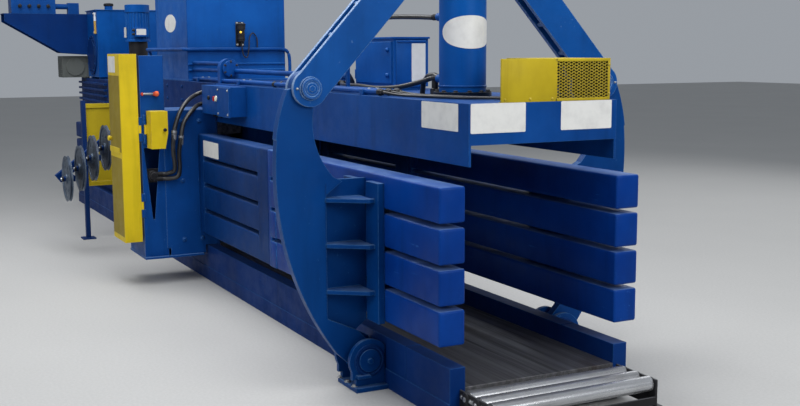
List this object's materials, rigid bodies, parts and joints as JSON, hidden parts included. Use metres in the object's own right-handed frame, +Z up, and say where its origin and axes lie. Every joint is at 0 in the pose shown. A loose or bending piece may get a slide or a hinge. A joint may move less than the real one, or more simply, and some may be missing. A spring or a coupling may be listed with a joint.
{
  "type": "recycling baler",
  "caption": "Long horizontal baler for recyclables: ribbed press box with hopper, automatic wire-tying unit, and an A-frame linkage that squeezes the front walls.",
  "frame": {"origin": "on the floor, on the machine's centre line, under the face of the discharge end", "axes": "+X along the machine, out of the discharge end; +Y across, away from the tying unit; +Z up"},
  "size_m": [9.16, 3.06, 2.6],
  "materials": {
    "frame_blue": "semi-gloss enamel, scratched along the edges",
    "panel_blue": "semi-gloss enamel, dusty",
    "squeeze_blue": "semi-gloss enamel, rubbed to bare metal on the edges",
    "guard_yellow": "semi-gloss enamel",
    "screen_yellow": "dull enamel",
    "floor_steel": "polished by bales",
    "rod_chrome": "polished",
    "roller_steel": "smooth",
    "sheave_steel": "galvanised, blue-grey",
    "needle_steel": "worn",
    "hose_black": "dusty rubber",
    "machine_black": "satin",
    "cooler_grey": "satin",
    "knob_orange": "matte",
    "button_red": "gloss",
    "button_white": "gloss",
    "gauge_white": "clear-faced tube gauge",
    "eye_black": "matte"
  },
  "bodies": {
    "frame": {"chamber_floor": "floor_steel", "base_rail_left": "frame_blue", "base_rail_right": "frame_blue", "top_beam": "frame_blue", "fixed_wall_left": "panel_blue", "fixed_wall_right": "panel_blue", "pivot_bracket_left": "frame_blue", "pivot_bracket_right": "frame_blue", "base_pins": "frame_blue", "tension_barrel": "panel_blue", "screen_guard": "screen_yellow", "screen_mesh": "screen_yellow", "charge_box": "frame_blue", "hopper": "panel_blue", "photo_eye": "eye_black", "ram_housing": "frame_blue", "main_cylinder": "machine_black", "tier_frame": "panel_blue", "twister_motor": "machine_black", "interlock": "knob_orange", "needle_frame": "frame_blue", "sheave_bracket": "frame_blue", "wire_guard": "screen_yellow", "control_box": "panel_blue", "cabinet": "panel_blue", "top_pipes": "panel_blue", "cylinder_hoses": "hose_black", "tier_hoses": "hose_black", "reservoir": "panel_blue", "cleanout_cover": "frame_blue", "level_gauge": "gauge_white", "motor": "panel_blue", "pump": "machine_black", "shelf_bracket": "frame_blue", "valve_box": "panel_blue", "cooler": "cooler_grey", "roller_frame": "machine_black"},
    "crosshead": {"crosshead": "rod_chrome"},
    "squeeze_left": {"squeeze_ribs_left": "squeeze_blue", "lever_left": "squeeze_blue"},
    "squeeze_right": {"squeeze_ribs_right": "squeeze_blue", "lever_right": "squeeze_blue"},
    "link_left": {"link_left": "squeeze_blue"},
    "link_right": {"link_right": "squeeze_blue"},
    "ram": {"ram": "needle_steel"},
    "star_wheel": {"star_wheel": "panel_blue"},
    "twister": {"twister_shaft": "needle_steel"},
    "tier_guard": {"tier_guard": "guard_yellow"},
    "twister_guard": {"twister_guard": "guard_yellow"},
    "needles": {"needles": "needle_steel"},
    "button_red": {"button_red": "button_red"},
    "button_white": {"button_white": "button_white"},
    "sheave_1": {"sheave_1": "sheave_steel"},
    "sheave_2": {"sheave_2": "sheave_steel"},
    "sheave_3": {"sheave_3": "sheave_steel"},
    "sheave_4": {"sheave_4": "sheave_steel"},
    "sheave_5": {"sheave_5": "sheave_steel"},
    "roller_1": {"roller_1": "roller_steel"},
    "roller_2": {"roller_2": "roller_steel"},
    "roller_3": {"roller_3": "roller_steel"}
  },
  "joints": [
    {"name": "crosshead_lift", "type": "slide", "parent": "frame", "child": "crosshead", "axis": [0, 0, 1], "range_m": [0, 0.07]},
    {"name": "squeeze_left", "type": "hinge", "parent": "frame", "child": "squeeze_left", "pos_m": [-0.78, -0.612, 0.155], "axis": [1, 0, 0], "range_deg": [-2.75, 0]},
    {"name": "squeeze_right", "type": "hinge", "parent": "frame", "child": "squeeze_right", "pos_m": [-0.78, 0.612, 0.155], "axis": [1, 0, 0], "range_deg": [0, 2.75]},
    {"name": "link_left", "type": "hinge", "parent": "crosshead", "child": "link_left", "pos_m": [-0.78, -0.1, 2.44], "axis": [1, 0, 0], "range_deg": [0, 4.3]},
    {"name": "link_right", "type": "hinge", "parent": "crosshead", "child": "link_right", "pos_m": [-0.78, 0.1, 2.44], "axis": [1, 0, 0], "range_deg": [-4.3, 0]},
    {"name": "ram_stroke", "type": "slide", "parent": "frame", "child": "ram", "axis": [1, 0, 0], "range_m": [0, 1.85]},
    {"name": "star_wheel_spin", "type": "hinge", "parent": "frame", "child": "star_wheel", "pos_m": [-0.222, 0.19, 1.5125], "axis": [0, 1, 0], "continuous": true},
    {"name": "twister_spin", "type": "hinge", "parent": "frame", "child": "twister", "pos_m": [-3.96, -0.65, 0.75], "axis": [0, 0, 1], "continuous": true},
    {"name": "tier_guard_hinge", "type": "hinge", "parent": "frame", "child": "tier_guard", "pos_m": [-3.774, -1.008, 1], "axis": [0, 0, 1], "range_deg": [0, 105]},
    {"name": "twister_guard_hinge", "type": "hinge", "parent": "frame", "child": "twister_guard", "pos_m": [-3.77, -0.971, 1.178], "axis": [0, 0, 1], "range_deg": [-70, 0]},
    {"name": "needle_stroke", "type": "slide", "parent": "frame", "child": "needles", "axis": [0, -1, 0], "range_m": [0, 0.9]},
    {"name": "button_red_press", "type": "slide", "parent": "frame", "child": "button_red", "axis": [0, 1, 0], "range_m": [0, 0.005], "stiffness_N_per_m": 400},
    {"name": "button_white_press", "type": "slide", "parent": "frame", "child": "button_white", "axis": [0, 1, 0], "range_m": [0, 0.005], "stiffness_N_per_m": 400},
    {"name": "sheave_1_spin", "type": "hinge", "parent": "frame", "child": "sheave_1", "pos_m": [-5.45, -0.8, 0.995], "axis": [0, 1, 0], "continuous": true},
    {"name": "sheave_2_spin", "type": "hinge", "parent": "frame", "child": "sheave_2", "pos_m": [-5.45, -0.912, 0.91], "axis": [0, 1, 0], "continuous": true},
    {"name": "sheave_3_spin", "type": "hinge", "parent": "frame", "child": "sheave_3", "pos_m": [-5.45, -1.024, 0.825], "axis": [0, 1, 0], "continuous": true},
    {"name": "sheave_4_spin", "type": "hinge", "parent": "frame", "child": "sheave_4", "pos_m": [-5.45, -1.136, 0.74], "axis": [0, 1, 0], "continuous": true},
    {"name": "sheave_5_spin", "type": "hinge", "parent": "frame", "child": "sheave_5", "pos_m": [-5.45, -1.248, 0.655], "axis": [0, 1, 0], "continuous": true},
    {"name": "roller_1_spin", "type": "hinge", "parent": "frame", "child": "roller_1", "pos_m": [0.06, 0, 0.135], "axis": [0, 1, 0], "continuous": true},
    {"name": "roller_2_spin", "type": "hinge", "parent": "frame", "child": "roller_2", "pos_m": [0.16, 0, 0.135], "axis": [0, 1, 0], "continuous": true},
    {"name": "roller_3_spin", "type": "hinge", "parent": "frame", "child": "roller_3", "pos_m": [0.26, 0, 0.135], "axis": [0, 1, 0], "continuous": true}
  ],
  "couplings": [
    {"joint": "squeeze_left", "follows": "crosshead_lift", "rad_per_m": -0.6753},
    {"joint": "squeeze_right", "follows": "crosshead_lift", "rad_per_m": 0.6753},
    {"joint": "link_left", "follows": "crosshead_lift", "rad_per_m": 1.0669},
    {"joint": "link_right", "follows": "crosshead_lift", "rad_per_m": -1.0669}
  ]
}
